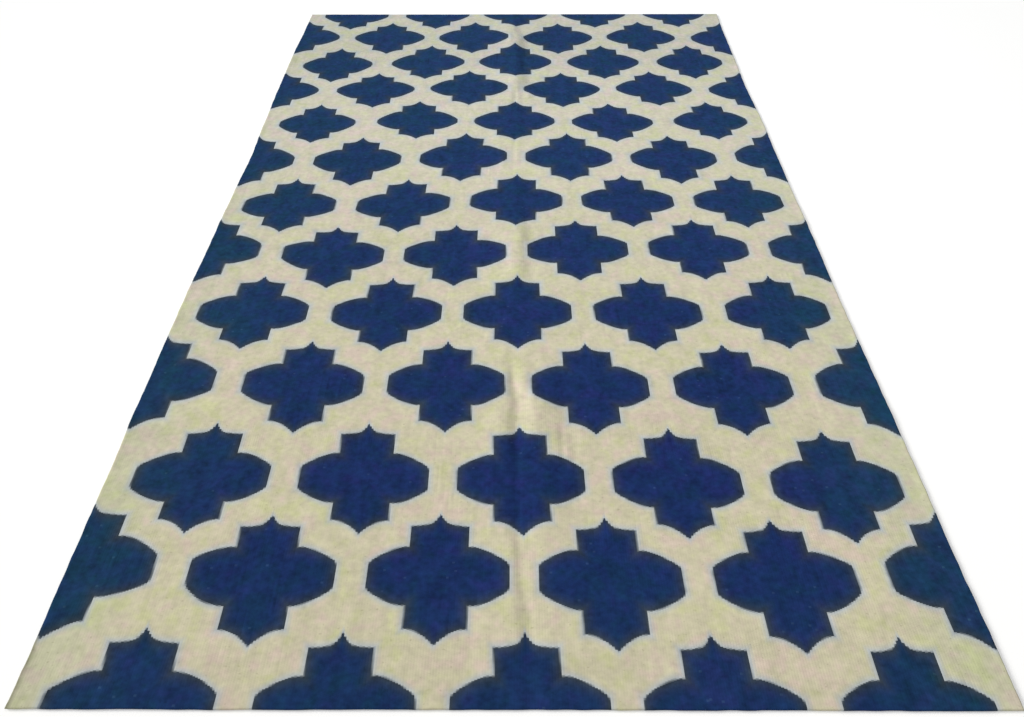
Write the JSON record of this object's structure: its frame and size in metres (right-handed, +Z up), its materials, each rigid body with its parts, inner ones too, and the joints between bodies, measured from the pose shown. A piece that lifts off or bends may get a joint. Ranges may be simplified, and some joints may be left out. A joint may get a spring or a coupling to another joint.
{
  "type": "kilim rug",
  "caption": "Flat-woven rectangular rug lying open, with a staggered trellis of dark medallions on a pale ground and soft storage folds.",
  "frame": {"origin": "middle of the rug's box, on the floor that it lies on", "axes": "+X across the rug's width, +Y along its length to the far end, +Z up"},
  "size_m": [1.5298, 2.435, 0.013],
  "materials": {
    "woven_cloth": "matt flat weave"
  },
  "bodies": {
    "root": {"kilim_rug": "woven_cloth"}
  },
  "joints": []
}
